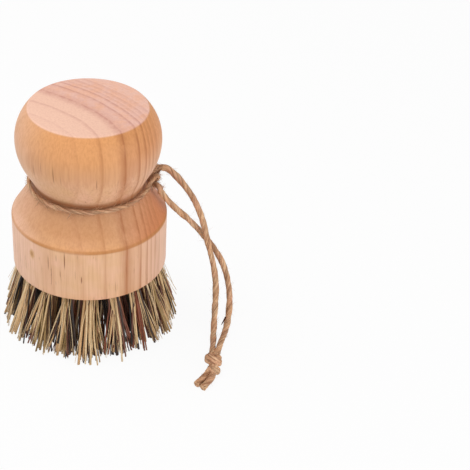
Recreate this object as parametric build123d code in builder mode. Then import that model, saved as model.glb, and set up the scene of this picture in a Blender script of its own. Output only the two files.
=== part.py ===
from build123d import *

import os
from math import atan, cos, pi, radians, sin, sqrt, tan

# Palm brush: a turned wooden handle that fits under the hand, rings of plant-fibre tufts stapled
# into its underside, and one length of twine hitched round the neck as a loop to hang it by.
# Millimetres. +Z is up, the turning axis is Z, and the floor under the fibre tips is z = 0.

# Turned handle.
bristle_height = 24.5
base_diameter = 55.0
base_height = 20.2
shoulder_height = 13.0
neck_diameter = 37.8
flare_height = 11.4
head_rise = 5.2
head_diameter = 50.4
crown_rise = 12.1
crown_diameter = 40.6
base_edge_radius = 1.0
rim_edge_radius = 0.8
neck_cove_radius = 4.0
crown_edge_radius = 0.6

# Tufts, set in rings of drilled blind holes.
tuft_rings = 3
tufts_in_first_ring = 6
wood_outside_holes = 2.5
hole_diameter = 5.0
hole_depth = 12.0
tuft_clearance = 0.1
fold_clearance = 0.6
strands_in_tuft = 13
root_margin = 0.5
tip_margin = 0.725
ring_flare_share = 0.24
root_strand_width = 0.55
tip_strand_width = 0.85
strand_bury = 0.8
tip_unevenness = 3.2
full_length_share = 0.45
flat_cut_depth = 0.5

# Flat wire staples across the folds of the tufts.
staple_wire_height = 1.8
staple_wire_thickness = 0.4
staple_bite = 0.6
staple_clearance = 0.05
staple_depth_from_fold = 1.4

# Twine.
twine_diameter = 2.1
winding_clearance = 0.25
turn_drop = 0.4
arcs_in_turn = 4
hitch_azimuth = 6.0
hitch_fork_angle = 19.0
hitch_gap = 0.9
hitch_lift = 0.2
quarters_in_twist = 6
quarter_length = 1.65
upper_bend_along = 5.1
upper_bend_out = 1.8
upper_bend_rise = -0.2
lower_bend_out = 0.8
lower_bend_along = 5.3
lower_bend_drop = 3.1
lower_lean = 33.0

# Overhand knot in the doubled end of the twine, lying on the floor.
knot_x = 42.95
knot_y = -34.9
knot_turn_radius = 1.8
knot_turn_spacing = 1.8
knot_core_radius = 1.6
knot_small_turn_radius = 0.95
knot_small_twine_radius = 0.9
knot_small_turn_drop = 4.4
knot_core_reach = 3.25
knot_tilt = 14.0
knot_small_tilt = 38.0
floor_clearance = 0.05

cut_overrun = 2.0
golden_angle = 180 * (3 - sqrt(5))
golden_share = 0.618034

# Free strands of the loop, from the hitch to the knot: points chosen along the twine.
upper_strand_points = [
    (29.29, 7.4, 55.71),
    (31.87, 6.3, 53.5),
    (34.33, 4.9, 50.78),
    (36.52, 3.3, 47.54),
    (38.45, 1.7, 43.6),
    (40.49, 0.2, 38.47),
    (42.91, -1.2, 29.64),
    (45.05, -2.4, 21.87),
    (46.19, -4.0, 14.74),
    (46.25, -5.8, 9.58),
    (45.88, -8.4, 5.95),
    (45.38, -12.2, 3.53),
    (44.89, -16.26, 1.35),
    (44.16, -22.41, 1.2),
    (42.13, -31.8, 2.1),
]
lower_strand_points = [
    (28.15, -3.5, 50.18),
    (30.71, -2.3, 46.24),
    (34.83, -0.1, 40.52),
    (38.64, 1.7, 35.28),
    (42.65, 2.9, 29.38),
    (46.57, 3.4, 23.14),
    (49.33, 3.0, 17.85),
    (51.12, 1.6, 12.31),
    (51.97, -0.7, 7.42),
    (51.91, -3.8, 4.1),
    (51.23, -8.3, 1.92),
    (49.91, -14.22, 1.45),
    (48.23, -19.86, 1.1),
    (44.42, -31.89, 2.1),
]
upper_exit_run = 1.6
lower_exit_run = 1.2
left_tail_points = [(41.45, -39.5, 1.6), (39.0, -43.0, 1.1), (36.0, -46.1, 1.1)]
right_tail_points = [(43.3, -40.6, 1.6), (41.4, -44.4, 1.1), (38.75, -48.1, 1.1)]
route_arc_share = 0.45

# Heights and radii that follow from the driving sizes.
underside_z = bristle_height
rim_z = underside_z + base_height
neck_z = rim_z + shoulder_height
flare_z = neck_z + flare_height
head_z = flare_z + head_rise
crown_z = head_z + crown_rise
base_radius = base_diameter / 2
neck_radius = neck_diameter / 2
head_radius = head_diameter / 2
crown_radius = crown_diameter / 2
hole_radius = hole_diameter / 2
ring_spacing = (base_radius - hole_radius - wood_outside_holes) / tuft_rings
root_radius = hole_radius - tuft_clearance
root_spread = root_radius - root_margin
tip_spread = ring_spacing * (1 + ring_flare_share) / 2 - tip_margin
root_height = hole_depth - fold_clearance
staple_z = underside_z + root_height - staple_depth_from_fold - staple_wire_height
staple_length = hole_diameter + 2 * staple_bite
twine_radius = twine_diameter / 2


def ring_places(ring):
    """Centre and azimuth of each tuft in a ring; ring 0 is the single tuft on the axis."""
    if ring == 0:
        return [(Vector(0, 0), 0.0)]
    count = ring * tufts_in_first_ring
    places = []
    for index in range(count):
        azimuth = 360 * (index + 0.5) / count
        places.append((Vector(ring * ring_spacing, 0).rotate(Axis.Z, azimuth), azimuth))
    return places


all_places = [place for ring in range(tuft_rings + 1) for place in ring_places(ring)]
os.makedirs("parts", exist_ok=True)


def keep(part, label):
    """Label a finished piece and write it out."""
    part.label = label
    export_step(part, f"parts/{label}.step")


# Handle: one turned outline, then a blind hole for each tuft and the bites of its staple. It is
# one piece of wood, kept as two solids that meet at the narrowest section, under the twine.
flare_corner = Vector(head_radius, flare_z)
flare_way = (flare_corner - Vector(neck_radius, neck_z)).normalized()
flare_end = flare_corner - flare_way * head_rise

with BuildPart() as handle:
    with BuildSketch(Plane.XZ):
        with BuildLine():
            Polyline(
                (0, crown_z),
                (0, underside_z),
                (base_radius, underside_z),
                (base_radius, rim_z),
                (neck_radius, neck_z),
                flare_end,
            )
            TangentArc(flare_end, (head_radius, head_z), tangent=flare_way)
            TangentArc((head_radius, head_z), (crown_radius, crown_z), tangent=(0, 1))
            Line((crown_radius, crown_z), (0, crown_z))
        make_face()
        rounded_corners = (
            ((base_radius, underside_z), base_edge_radius),
            ((base_radius, rim_z), rim_edge_radius),
            ((neck_radius, neck_z), neck_cove_radius),
            ((crown_radius, crown_z), crown_edge_radius),
        )
        for corner, edge_radius in rounded_corners:
            fillet(vertices().sort_by_distance(corner)[0], edge_radius)
    revolve(axis=Axis.Z)
    with BuildSketch(Plane.XY.offset(underside_z - cut_overrun)):
        with Locations([centre for centre, _ in all_places]):
            Circle(hole_radius)
    extrude(amount=hole_depth + cut_overrun, mode=Mode.SUBTRACT)
    with BuildSketch(Plane.XY.offset(staple_z - staple_clearance)):
        for centre, azimuth in all_places:
            with Locations(centre):
                Rectangle(
                    staple_wire_thickness + 2 * staple_clearance,
                    staple_length + 2 * staple_clearance,
                    rotation=azimuth,
                )
    extrude(amount=staple_wire_height + 2 * staple_clearance, mode=Mode.SUBTRACT)

for label, side in (("handle_base", Keep.BOTTOM), ("handle_knob", Keep.TOP)):
    with BuildPart() as handle_end:
        add(handle.part)
        split(bisect_by=Plane.XY.offset(neck_z), keep=side)
    keep(handle_end.part, label)


def strand_of_tuft(centre, phase, place_in_tuft, share):
    """One straight fibre strand, from inside the tuft's root to its tip.

    The longest strands would reach a little below the floor, and are cut flat on it.
    """
    root_z = underside_z + strand_bury
    full_z = -flat_cut_depth
    spread_share = sqrt((place_in_tuft + 0.5) / strands_in_tuft)
    turn = phase + place_in_tuft * golden_angle
    way = Vector(1, 0).rotate(Axis.Z, turn)
    root = centre + way * root_spread * spread_share
    full_tip = centre * (1 + ring_flare_share) + way * tip_spread * spread_share
    tip_z = full_z + max(0, share - full_length_share) * tip_unevenness
    tip_z = max(0, tip_z)
    drop_share = (root_z - tip_z) / (root_z - full_z)
    tip = root + (full_tip - root) * drop_share
    tip_width = root_strand_width + (tip_strand_width - root_strand_width) * drop_share
    sections = []
    for place, height, width in ((root, root_z, root_strand_width), (tip, tip_z, tip_width)):
        with BuildSketch(Plane((place.X, place.Y, height)), mode=Mode.PRIVATE) as section:
            Rectangle(width, width, rotation=turn)
        sections.append(section.sketch)
    return loft(sections, ruled=True, mode=Mode.PRIVATE)


# Tufts: the folded root that fills its hole, and the strands that fan out of it.
ring_names = ("centre", "inner", "middle", "outer")
strand_count = 0
for ring in range(tuft_rings + 1):
    for number, (centre, azimuth) in enumerate(ring_places(ring), start=1):
        strands = []
        phase = azimuth + strand_count * golden_angle
        for place_in_tuft in range(strands_in_tuft):
            share = (strand_count * golden_share) % 1
            strands.append(strand_of_tuft(centre, phase, place_in_tuft, share))
            strand_count += 1
        with BuildPart() as tuft:
            with BuildSketch(Plane.XY.offset(underside_z)):
                with Locations(centre):
                    Circle(root_radius)
            extrude(amount=root_height)
            with BuildSketch(Plane.XY.offset(staple_z - staple_clearance)):
                with Locations(centre):
                    Rectangle(
                        staple_wire_thickness + 2 * staple_clearance,
                        hole_diameter + cut_overrun,
                        rotation=azimuth,
                    )
            extrude(amount=staple_wire_height + 2 * staple_clearance, mode=Mode.SUBTRACT)
            add(strands)
        keep(tuft.part, f"tuft_{ring_names[ring]}_{number:02d}")
print("strands in all:", strand_count)

# Staples: one flat wire across each fold, its ends in the bites beside the hole.
for ring in range(tuft_rings + 1):
    with BuildPart() as staples:
        with BuildSketch(Plane.XY.offset(staple_z)):
            for centre, azimuth in ring_places(ring):
                with Locations(centre):
                    Rectangle(staple_wire_thickness, staple_length, rotation=azimuth)
        extrude(amount=staple_wire_height)
    keep(staples.part, f"tuft_staples_{ring_names[ring]}")

# Twine round the neck: one turn that stands off the cove by the same clearance above and below,
# tied with a half knot, in which the two ends twist round each other along the neck.
shoulder_angle = atan((base_radius - neck_radius) / shoulder_height)
flare_angle = atan((head_radius - neck_radius) / flare_height)
cove_tilt = (shoulder_angle - flare_angle) / 2
cove_reach = neck_cove_radius / cos((shoulder_angle + flare_angle) / 2)
cove_drop = cove_reach * sin(cove_tilt) + turn_drop
stand_off = twine_radius + winding_clearance
turn_z = neck_z - turn_drop
turn_radius = (
    neck_radius + cove_reach * cos(cove_tilt) - sqrt((neck_cove_radius - stand_off) ** 2 - cove_drop**2)
)
twist_radius = (twine_diameter + hitch_gap) / 2
twist_axis_radius = turn_radius + twist_radius + hitch_lift
outward = Vector(1, 0).rotate(Axis.Z, hitch_azimuth)
rearward = Vector(0, 1).rotate(Axis.Z, hitch_azimuth)
upward = Vector(0, 0, 1)


def at_hitch(radius, along, rise):
    """A point given from the hitch: out from the turning axis, rearward, and above the turn."""
    return outward * radius + rearward * along + upward * (turn_z + rise)


def biarc(start, start_way, end, end_way):
    """Two arcs that leave start and reach end in the given directions, and meet smoothly."""
    span = end - start
    both = span.dot(start_way + end_way)
    turning = 2 * (1 - start_way.dot(end_way))
    reach = (sqrt(both**2 + turning * span.dot(span)) - both) / turning
    first_corner = start + start_way * reach
    second_corner = end - end_way * reach
    meeting = (first_corner + second_corner) / 2
    TangentArc(start, meeting, tangent=start_way)
    TangentArc(meeting, end, tangent=(second_corner - first_corner).normalized())


def twist(front_angle):
    """Places and frontward directions along one end's twist, from the rear to the front."""
    stations = []
    for quarter in range(quarters_in_twist - 1, 0, -1):
        angle = front_angle - quarter * pi / 2
        out = twist_radius * cos(angle)
        rise = twist_radius * sin(angle)
        along = quarter_length * (quarter - quarters_in_twist / 2)
        place = at_hitch(twist_axis_radius + out, along, rise)
        way = (upward * out - outward * rise) * pi / 2 - rearward * quarter_length
        stations.append((place, way.normalized()))
    return stations


def neck_turn():
    """Places and directions round the neck, from the front of the hitch to its rear."""
    stations = []
    for arc in range(arcs_in_turn + 1):
        swung = hitch_fork_angle + (360 - 2 * hitch_fork_angle) * arc / arcs_in_turn
        place = Vector(turn_radius, 0, turn_z).rotate(Axis.Z, hitch_azimuth - swung)
        way = Vector(0, -1).rotate(Axis.Z, hitch_azimuth - swung)
        stations.append((place, way))
    return stations


outer_radius = twist_axis_radius + twist_radius
upper_bend = at_hitch(outer_radius + upper_bend_out, upper_bend_along, upper_bend_rise)
upper_exit = upper_bend + outward * twine_radius / 2
lower_way = outward * sin(radians(lower_lean)) - upward * cos(radians(lower_lean))
lower_bend = at_hitch(outer_radius + lower_bend_out, -lower_bend_along, -lower_bend_drop)
lower_exit = lower_bend + lower_way * twine_radius / 2
winding_stations = [
    (upper_bend, -outward),
    *twist(pi),
    *neck_turn(),
    *twist(0),
    (lower_bend, lower_way),
]

with BuildPart() as neck_winding:
    with BuildLine() as winding_path:
        Line(upper_exit, upper_bend)
        for (start, start_way), (end, end_way) in zip(winding_stations, winding_stations[1:]):
            biarc(start, start_way, end, end_way)
        Line(lower_bend, lower_exit)
    with BuildSketch(Plane(upper_exit, z_dir=-outward)):
        Circle(twine_radius)
    sweep(path=winding_path.line)
keep(neck_winding.part, "neck_winding")


def least_self_gap(path, diameter, samples=360, diameters_apart=3):
    """Least surface gap between stretches of a path that lie apart along it."""
    step = path.length / samples
    points = [path @ (index / samples) for index in range(samples + 1)]
    apart = int(diameters_apart * diameter / step)
    nearest = min(
        (points[i] - points[j]).length
        for i in range(len(points))
        for j in range(i + apart, len(points))
    )
    return nearest - diameter


winding_wire = Wire(winding_path.edges())
print("neck winding: least gap to itself", round(least_self_gap(winding_wire, twine_diameter), 2))


def twine_tube(label, points):
    """A free stretch of twine: straight runs joined by arcs as large as the runs allow."""
    places = [Vector(point) for point in points]
    runs = [end - start for start, end in zip(places, places[1:])]
    radii = []
    for before, after in zip(runs, runs[1:]):
        half_turn = radians(before.get_angle(after)) / 2
        radii.append(route_arc_share * min(before.length, after.length) / tan(half_turn))
    with BuildPart() as tube:
        with BuildLine() as path:
            FilletPolyline(*places, radius=radii)
        with BuildSketch(Plane(places[0], z_dir=runs[0])):
            Circle(twine_radius)
        sweep(path=path.line)
    keep(tube.part, label)
    length = sum(edge.length for edge in path.edges())
    ideal = length * pi * twine_radius**2
    print(label, "length", round(length, 1), "volume share", round(tube.part.volume / ideal, 4))
    print("  radii", [round(radius, 1) for radius in radii])


twine_tube(
    "loop_strand_upper",
    [upper_exit, upper_exit + outward * upper_exit_run, *upper_strand_points],
)
twine_tube(
    "loop_strand_lower",
    [lower_exit, lower_exit + lower_way * lower_exit_run, *lower_strand_points],
)
twine_tube("loop_tail_left", left_tail_points)
twine_tube("loop_tail_right", right_tail_points)

# Overhand knot: two turns of the doubled twine over a core, and the smaller turn below them.
knot_z = knot_turn_radius + twine_radius + floor_clearance
with BuildPart() as end_knot:
    for side in (-1, 1):
        knot_place = (knot_x, knot_y + side * knot_turn_spacing / 2, knot_z)
        with Locations(Location(knot_place, (90, 0, side * knot_tilt / 2))):
            Torus(knot_turn_radius, twine_radius)
    small_place = Vector(knot_x, knot_y - knot_small_turn_drop, knot_z - knot_turn_radius / 2)
    with Locations(Location(small_place, (90, 0, knot_small_tilt))):
        Torus(knot_small_turn_radius, knot_small_twine_radius)
    core_start = Vector(knot_x, knot_y + knot_core_reach, knot_z)
    core_run = small_place - core_start
    with BuildSketch(Plane(core_start, z_dir=core_run)):
        Circle(knot_core_radius)
    extrude(amount=core_run.length)
keep(end_knot.part, "end_knot")
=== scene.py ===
import random
from functools import partial
from math import asin, atan2, cos, pi, radians, sin, sqrt, tan, tau

import bmesh
import bpy
from mathutils import Euler, Matrix, Quaternion, Vector, noise


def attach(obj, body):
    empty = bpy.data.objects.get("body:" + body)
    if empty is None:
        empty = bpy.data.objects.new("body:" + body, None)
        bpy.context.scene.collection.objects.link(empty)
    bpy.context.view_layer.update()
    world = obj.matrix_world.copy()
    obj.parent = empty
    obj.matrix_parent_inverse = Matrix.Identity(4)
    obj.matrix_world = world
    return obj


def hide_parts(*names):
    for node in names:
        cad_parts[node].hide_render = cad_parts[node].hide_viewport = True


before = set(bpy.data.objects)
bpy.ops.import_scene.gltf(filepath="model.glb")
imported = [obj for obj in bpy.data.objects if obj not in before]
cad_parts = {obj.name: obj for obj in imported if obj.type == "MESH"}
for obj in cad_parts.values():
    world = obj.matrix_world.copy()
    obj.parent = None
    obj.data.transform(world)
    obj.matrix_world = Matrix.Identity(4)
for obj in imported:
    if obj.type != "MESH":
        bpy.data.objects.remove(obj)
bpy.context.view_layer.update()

bl_info = {
    "name": "Palm brush",
    "version": (1, 0, 0),
    "blender": (4, 5, 0),
    "location": "View3D > Sidebar > Palm brush",
    "description": "Turned palm brush with plant-fibre tufts and a jute hanging loop",
    "category": "Object",
}

MM = 0.001
WHITE = (1, 1, 1, 1)
LAMP_AIM = Vector((0.01, -0.005, 0.045))
BRUSH = "brush"
LOOP = "hang_loop"

# Clearances, in metres.
FLOOR_GAP = 0.00004
HAIR_FLOOR_GAP = 0.00005
ROOT_LIFT = 0.0009
HOLE_GAP = 0.00012
HOLE_BOTTOM_GAP = 0.0006
TIP_GAP = 0.00012

TUFTS = sorted(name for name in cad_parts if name.startswith("tuft_") and "staples" not in name)
STAPLES = sorted(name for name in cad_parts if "staples" in name)

# The routes of the two free strands, in millimetres: close to those of the CAD source, with more
# points at their ends.
UPPER_ROUTE = (
    (25.78, 7.84, 57.1), (27.37, 8.0, 57.1), (29.29, 7.4, 55.71), (31.87, 6.3, 53.5),
    (34.33, 4.9, 50.78), (36.9, 3.3, 47.5), (38.95, 1.7, 43.7), (40.9, 0.2, 38.6),
    (42.91, -1.2, 29.64), (45.05, -2.4, 21.87), (46.19, -4.0, 14.74), (46.25, -5.8, 9.58),
    (45.88, -8.4, 5.95), (45.38, -12.2, 3.53), (44.89, -16.26, 1.35), (44.2, -22.2, 1.25),
    (43.5, -28.0, 1.6), (42.85, -31.8, 2.1),
)
LOWER_ROUTE = (
    (25.0, -3.1, 53.9), (25.7, -3.2, 52.7), (27.9, -3.3, 49.8), (30.5, -2.4, 46.2),
    (35.0, -0.1, 40.5), (38.64, 1.7, 35.28), (42.65, 2.9, 29.38), (46.57, 3.4, 23.14),
    (49.33, 3.0, 17.85), (51.12, 1.6, 12.31), (51.97, -0.7, 7.42), (51.91, -3.8, 4.1),
    (51.23, -8.3, 1.92), (49.91, -14.22, 1.45), (48.4, -19.2, 1.15), (46.2, -25.2, 1.4),
    (44.5, -31.9, 2.1),
)
# The routes of the two cut tails beyond the knot.
LEFT_TAIL_ROUTE = ((41.9, -38.0, 2.0), (40.8, -40.2, 1.5), (38.8, -43.0, 1.3), (36.3, -45.8, 1.25))
RIGHT_TAIL_ROUTE = ((43.3, -38.6, 2.0), (42.5, -41.3, 1.5), (40.7, -44.6, 1.3), (38.3, -47.6, 1.25))

# Short thick fibres that stand off the twine: both ends and the radius in millimetres, and how dark.
# The near-black spurs by the half knot are painted shadow: dark pieces where the twine passes into the
# head's shade.
NECK_SPURS = (
    ((-6.2, -21.6, 57.7), (-7.5, -23.4, 56.4), 0.34, 0.0),
    ((22.9, 1.4, 57.9), (25.2, 2.3, 59.7), 0.85, 1.5),
    ((24.0, 3.4, 59.4), (26.2, 3.2, 61.2), 0.50, 1.0),
    ((20.7, -3.6, 58.5), (22.2, -2.0, 60.0), 0.55, 1.5),
    ((-17.2, -14.6, 57.4), (-18.6, -15.4, 55.9), 0.20, 0.0),
    ((21.4, -5.4, 57.9), (22.0, -6.2, 56.4), 0.36, 1.3),
)
LOWER_SPURS = (((49.7, -12.0, 3.9), (47.9, -14.2, 2.1), 0.46, 2.0),)

# Dark streaks of the grain: azimuth in degrees, then radius, height, half width and half height
# in millimetres, then strength.
GRAIN_MARKS = (
    (-121.5, 27.5, 38.6, 0.26, 4.2, 0.70), (-115.0, 27.5, 41.3, 0.22, 2.2, 0.55),
    (-108.6, 27.5, 40.8, 0.30, 4.6, 0.92), (-96.5, 27.5, 33.6, 0.32, 2.0, 0.85),
    (-101.0, 27.5, 35.5, 0.20, 3.0, 0.35), (-72.0, 27.5, 29.5, 0.24, 3.4, 0.40),
    (-137.0, 24.2, 71.6, 0.24, 3.6, 0.55), (-129.0, 24.2, 74.0, 0.20, 3.0, 0.45),
    (-118.0, 24.2, 72.6, 0.28, 4.6, 0.72), (-112.0, 24.2, 71.0, 0.22, 3.0, 0.30),
    (-84.5, 24.2, 70.6, 0.26, 2.8, 0.60),
)

# Shares of the fibres and locks that depart from the rest, and the tones that they are told by.
IN_BETWEEN_FIBRES, SHORT_FIBRES, MIXED_FIBRES, SHORT_LOCKS = 0.28, 0.07, 0.40, 0.12
# The tufts inside the outer ring favour the tones below the second of these, as painted shade among the
# fibres.
RED, INNER_SHADE_TONES = 0.42, 0.35

# The pith, in metres, and the year rings: distance from it in millimetres and how dark.
PITH = (0.0423, 0.0394, 0)
FIRST_RING, LAST_RING = 15, 85
YEAR_RINGS = (
    (30.0, 0.0), (33.0, 0.14), (33.3, 0.0), (40.0, 0.05), (41.6, 0.22), (41.9, 0.0), (48.0, 0.06),
    (49.3, 0.55), (49.7, 0.05), (54.0, 0.08), (56.6, 0.75), (57.1, 1.0), (57.5, 0.55), (60.4, 0.26),
    (61.9, 0.42), (62.7, 1.0), (63.1, 0.22), (64.6, 0.20), (65.7, 0.95), (66.1, 0.15), (67.6, 0.60),
    (67.9, 0.12), (69.6, 0.62), (69.9, 0.12), (72.0, 0.50), (72.3, 0.1),
)


def linear(red, green, blue):
    """A colour written in display values from 0 to 255, as the linear values that the shaders take."""
    shares = (value / 255 for value in (red, green, blue))
    return (*(s / 12.92 if s <= 0.04045 else ((s + 0.055) / 1.055) ** 2.4 for s in shares), 1.0)


def unit_at(angle):
    return Vector((cos(angle), sin(angle), 0))


# Settings

def setting(kind, name, description, default, **limits):
    made = getattr(bpy.props, f"{kind}Property")
    return made(name=name, description=description, default=default, **limits)


size = partial(setting, "Float", unit="LENGTH", subtype="DISTANCE", precision=5)
number = partial(setting, "Float", min=0.0)
count = partial(setting, "Int", min=1, max=5000)
power = partial(setting, "Float", subtype="POWER")
paint = partial(setting, "FloatVector", size=4, subtype="COLOR", min=0.0, max=1.0)


def colour(name, description, *levels):
    return paint(name, description, linear(*levels))


def turn(name, description, angle):
    return setting("Float", name, description, radians(angle), unit="ROTATION", subtype="ANGLE")


class PALMBRUSH_PG_handle(bpy.types.PropertyGroup):
    base_diameter: size("Base diameter", "Across the drum-shaped base", 0.055)
    underside: size("Underside height", "Above the fibre tips", 0.0245)
    rim: size("Rim height", "Where the drum turns in to the shoulder", 0.0447)
    neck: size("Neck height", "Height of the narrowest place", 0.0577)
    neck_diameter: size("Neck diameter", "Across the waist's corner, before its cove", 0.0378)
    flare: size("Flare height", "Where the flare would meet the widest diameter", 0.0691)
    head_rise: size("Head rise", "From the flare's corner to the widest place", 0.0052)
    head_diameter: size("Head diameter", "Across the widest place of the knob", 0.0504)
    crown: size("Crown height", "Height of the flat crown", 0.0864)
    crown_diameter: size("Crown diameter", "Across the flat crown", 0.0406)
    base_edge: size("Base edge radius", "Rounding of the lower edge", 0.001)
    rim_edge: size("Rim edge radius", "Rounding of the rim", 0.0008)
    neck_cove: size("Neck cove radius", "Rounding of the waist", 0.004)
    crown_edge: size("Crown edge radius", "Rounding round the crown", 0.0006)
    hole_diameter: size("Hole diameter", "Drilled hole of a tuft", 0.005)
    hole_depth: size("Hole depth", "Depth of a tuft's hole", 0.012)
    ring_spacing: size("Ring spacing", "From one ring of tufts to the next", 0.0075)
    rings: count("Rings of tufts", "Rings round the middle tuft", 3, max=6)
    wood: colour("Wood", "Pale wood between the year rings", 227, 183, 147)
    late_wood: colour("Late wood", "Darker side of each year ring", 164, 98, 54)
    warm_wood: colour("Warm wood", "Where the cut slants across the grain", 224, 158, 100)
    end_grain: colour("End grain", "The flat crown", 240, 196, 172)
    pores: colour("Pores", "Fine dark dashes of the grain", 138, 88, 56)
    # Painted shadow: the dark band in the crease between the head and the twine.
    waist: colour("Waist", "Painted shadow beside the twine", 146, 92, 56)


class PALMBRUSH_PG_fibre(bpy.types.PropertyGroup):
    outer_count: count("Fibres, outer ring", "In each tuft of the outer ring", 58)
    middle_count: count("Fibres, middle ring", "In each tuft of the middle ring", 56)
    inner_count: count("Fibres, inner ring", "In each tuft further in", 34)
    width: size("Fibre width", "Mean width of a fibre", 0.00076)
    root_spread: size("Root spread", "Radius of a tuft in its hole", 0.0021)
    tip_spread: size("Tip spread", "Radius of a tuft at its tips", 0.0051)
    flare: number("Ring flare", "How much further out the tips stand than the holes", 0.29, max=1.0)
    reach: size("Furthest tip", "How far a tip may stand from the middle of the brush", 0.0318)
    locks: count("Locks", "Bundles that the fibres of a tuft gather in", 6, max=12)
    ragged: size("Ragged tips", "How much the lengths of the fibres differ", 0.0036)
    strays: count("Stray fibres", "Fine pale fibres in each outer tuft", 6)
    dark: colour("Dark fibre", "The darkest fibres", 34, 24, 20)
    brown: colour("Brown fibre", "Mid brown fibres", 114, 70, 54)
    red: colour("Red fibre", "Reddish brown fibres", 142, 74, 46)
    olive: colour("Olive fibre", "Olive fibres", 144, 116, 70)
    straw: colour("Straw fibre", "Straw-coloured fibres", 208, 166, 118)
    cream: colour("Cream fibre", "The palest fibres", 230, 204, 164)


class PALMBRUSH_PG_twine(bpy.types.PropertyGroup):
    diameter: size("Twine diameter", "Diameter of the jute twine", 0.0021)
    lay: size("Length of lay", "Length over which the plies turn once", 0.0135)
    plies: count("Plies", "Plies twisted together", 2, min=2, max=6)
    turn_radius: size("Winding radius", "Radius of the turn round the neck", 0.02094)
    turn_height: size("Turn height", "Height of the turn round the neck", 0.0573)
    twist_radius: size("Twist radius", "From the middle of the half knot to each end", 0.0015)
    quarter: size("Quarter of the twist", "Length of the half knot over a quarter of a turn", 0.00165)
    hitch: turn("Hitch azimuth", "Where the half knot sits round the neck", 6.0)
    hairs: number("Hairs per millimetre", "Loose hairs along the twine", 4.5, max=30.0)
    pale: colour("Pale jute", "Palest fibres of the twine", 236, 204, 162)
    tan: colour("Tan jute", "Main colour of the twine", 224, 170, 128)
    pink: colour("Pinkish jute", "Pinkish stretches of the twine", 221, 167, 138)
    brown: colour("Brown jute", "Darkest streaks of the twine", 118, 72, 46)


class PALMBRUSH_PG_stage(bpy.types.PropertyGroup):
    aim: setting(
        "FloatVector", "Aim", "Point that the camera is set out from", (0, 0, 0.0435), subtype="TRANSLATION"
    )
    distance: size("Distance", "From the camera to the aim", 0.45)
    elevation: turn("Elevation", "Height of the camera above the horizon", 33.70)
    swing: turn("Swing", "Turn of the camera to its right, for the framing", 6.60)
    tip: turn("Tip", "Turn of the camera downwards, for the framing", 1.13)
    roll: turn("Roll", "Turn of the camera about its own line of sight", -0.763)
    lens: setting("Float", "Lens", "Focal length on a 36 mm frame", 95.95, subtype="DISTANCE_CAMERA")
    key_power: power("Overhead lamp", "Power of the overhead lamp", 1.6)
    left_power: power("Left lamp", "Power of the lamp at the front left", 1.05)
    right_power: power("Right lamp", "Power of the lamp at the front right", 2.4)
    sky: number("Sky", "Strength of the even light from all round", 0.58, max=2.0)
    floor: paint("Floor", "Colour of the floor", (0.80, 0.80, 0.80, 1.0))


# Nodes

class Graph:
    """A node tree, emptied, and short ways to add nodes to it."""

    def __init__(self, owner):
        owner.use_nodes = True
        self.tree = owner.node_tree
        self.tree.nodes.clear()

    def add(self, kind, inputs=None, **settings):
        """Adds a node, sets it, and links or sets its inputs, given by name or number."""
        made = self.tree.nodes.new(kind if kind.startswith("NodeGroup") else f"ShaderNode{kind}")
        for key, value in settings.items():
            setattr(made, key, value)
        for key, value in (inputs or {}).items():
            if isinstance(value, bpy.types.NodeSocket):
                self.tree.links.new(value, made.inputs[key])
            else:
                made.inputs[key].default_value = value
        return made

    def out(self, kind, inputs, **settings):
        return self.add(kind, inputs, **settings).outputs[0]

    def calc(self, operation, *values, clamp=False):
        return self.out("Math", dict(enumerate(values)), operation=operation, use_clamp=clamp)

    def scaled(self, value, factor, shift):
        return self.calc("MULTIPLY_ADD", value, factor, shift)

    def times(self, first, *others):
        for other in others:
            first = self.calc("MULTIPLY", first, other)
        return first

    def blend(self, share, first, second):
        return self.add("Mix", {0: share, 6: first, 7: second}, data_type="RGBA").outputs[2]

    def layers(self, base, *coats):
        """Lays colours over a base, each by its own share."""
        for share, tone in coats:
            base = self.blend(share, base, tone)
        return base

    def ramp(self, value, *stops):
        """A colour ramp; each stop is a place and a grey value or a colour."""
        made = self.add("ValToRGB", {0: value})
        elements = made.color_ramp.elements
        while len(elements) < len(stops):
            elements.new(0.5)
        for element, (at, tone) in zip(elements, stops):
            element.position = at
            element.color = tone if hasattr(tone, "__len__") else (tone, tone, tone, 1.0)
        return made.outputs[0]

    def fit(self, value, low, high, to_low=0.0, to_high=1.0, way="SMOOTHSTEP"):
        values = {0: value, 1: low, 2: high, 3: to_low, 4: to_high}
        return self.out("MapRange", values, interpolation_type=way)

    def noise(self, vector, scale, detail, roughness=0.5):
        values = {"Vector": vector, "Scale": scale, "Detail": detail, "Roughness": roughness}
        return self.out("TexNoise", values)

    def length(self, vector):
        return self.add("VectorMath", {0: vector}, operation="LENGTH").outputs["Value"]

    def spot(self, where, at, reach, turned=0.0):
        """How far each place is from the middle of a spot, as a share of the spot's reach."""
        return self.length(self.out(
            "Mapping", {"Vector": where, "Location": at, "Rotation": (0, 0, turned), "Scale": reach},
            vector_type="TEXTURE",
        ))

    def streaks(self, vector, across, along, low, high):
        values = {"Vector": vector, "Across": across, "Along": along, "Low": low, "High": high}
        return self.add("Group", values, node_tree=streaks_group()).outputs

    def mottle(self, vector, scale, first, second, amount):
        values = {
            "Vector": vector, "Scale": scale, "Colour": first, "Other Colour": second, "Amount": amount
        }
        return self.out("Group", values, node_tree=mottle_group())


class GroupGraph(Graph):
    """A shader node group with named sockets, a vector where an input has no default."""

    def __init__(self, name, inputs, outputs):
        self.tree = bpy.data.node_groups.new(name, "ShaderNodeTree")
        kinds = {type(None): "Vector", float: "Float", tuple: "Color"}
        for label, default in inputs.items():
            kind = f"NodeSocket{kinds[type(default)]}"
            socket = self.tree.interface.new_socket(label, in_out="INPUT", socket_type=kind)
            if default is not None:
                socket.default_value = default
        for label, kind in outputs.items():
            self.tree.interface.new_socket(label, in_out="OUTPUT", socket_type=f"NodeSocket{kind}")
        self.given = self.add("NodeGroupInput").outputs


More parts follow.
